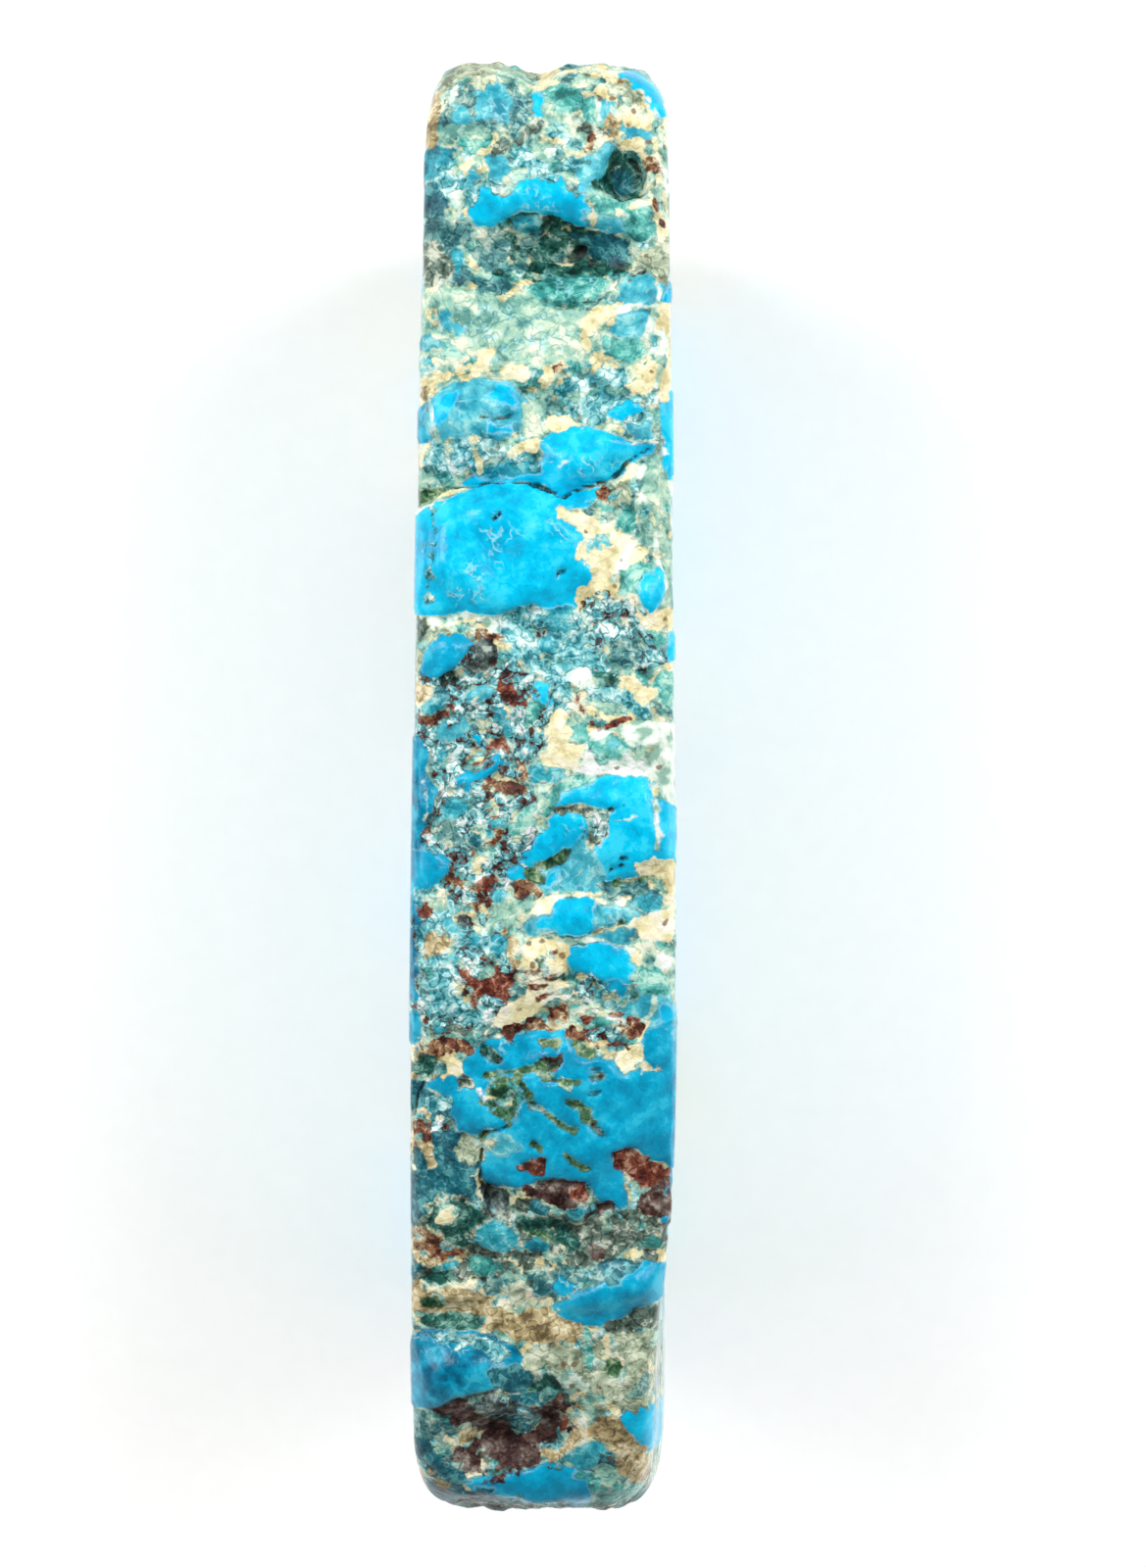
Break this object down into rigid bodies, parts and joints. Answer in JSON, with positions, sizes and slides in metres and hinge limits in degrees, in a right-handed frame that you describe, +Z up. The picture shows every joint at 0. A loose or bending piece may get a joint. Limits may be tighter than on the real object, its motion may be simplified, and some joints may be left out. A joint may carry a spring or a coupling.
{
  "type": "turquoise slab",
  "caption": "Slab of rough turquoise in its host rock, sawn and polished on both broad sides, with a rough natural long edge.",
  "frame": {"origin": "middle of the slab's length and thickness, on the sawn long edge that it stands on", "axes": "+Z up towards the rough edge, Y along the slab, X through its thickness between the two polished sides"},
  "size_m": [0.011, 0.0624, 0.0346],
  "materials": {
    "turquoise": "polished turquoise with cream and rust matrix, coarse and glinting on the rough edge"
  },
  "bodies": {
    "root": {"slab": "turquoise"}
  },
  "joints": []
}
